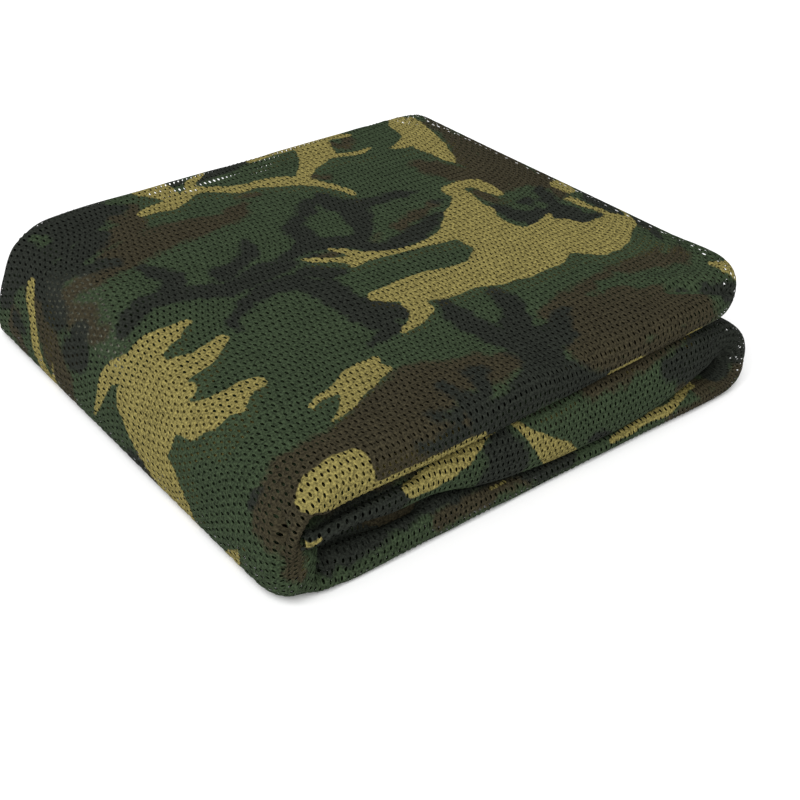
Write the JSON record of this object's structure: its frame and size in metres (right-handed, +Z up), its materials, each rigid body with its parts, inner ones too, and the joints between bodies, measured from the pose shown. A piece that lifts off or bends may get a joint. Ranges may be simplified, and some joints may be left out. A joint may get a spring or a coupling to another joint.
{
  "type": "folded camouflage mesh net",
  "caption": "Length of printed camouflage mesh netting, folded back and forth and then over into a soft square packet that lies flat.",
  "frame": {"origin": "centre of the packet's bounding box in X and Y, on the surface it lies on", "axes": "+X along the packet's near face, where the folded layers show; +Y away from that face; +Z up"},
  "size_m": [0.3086, 0.3026, 0.0643],
  "materials": {
    "printed_mesh": "matte polyester mesh with small even holes, printed in woodland green, brown, black and tan"
  },
  "bodies": {
    "root": {"camouflage_net": "printed_mesh"}
  },
  "joints": []
}
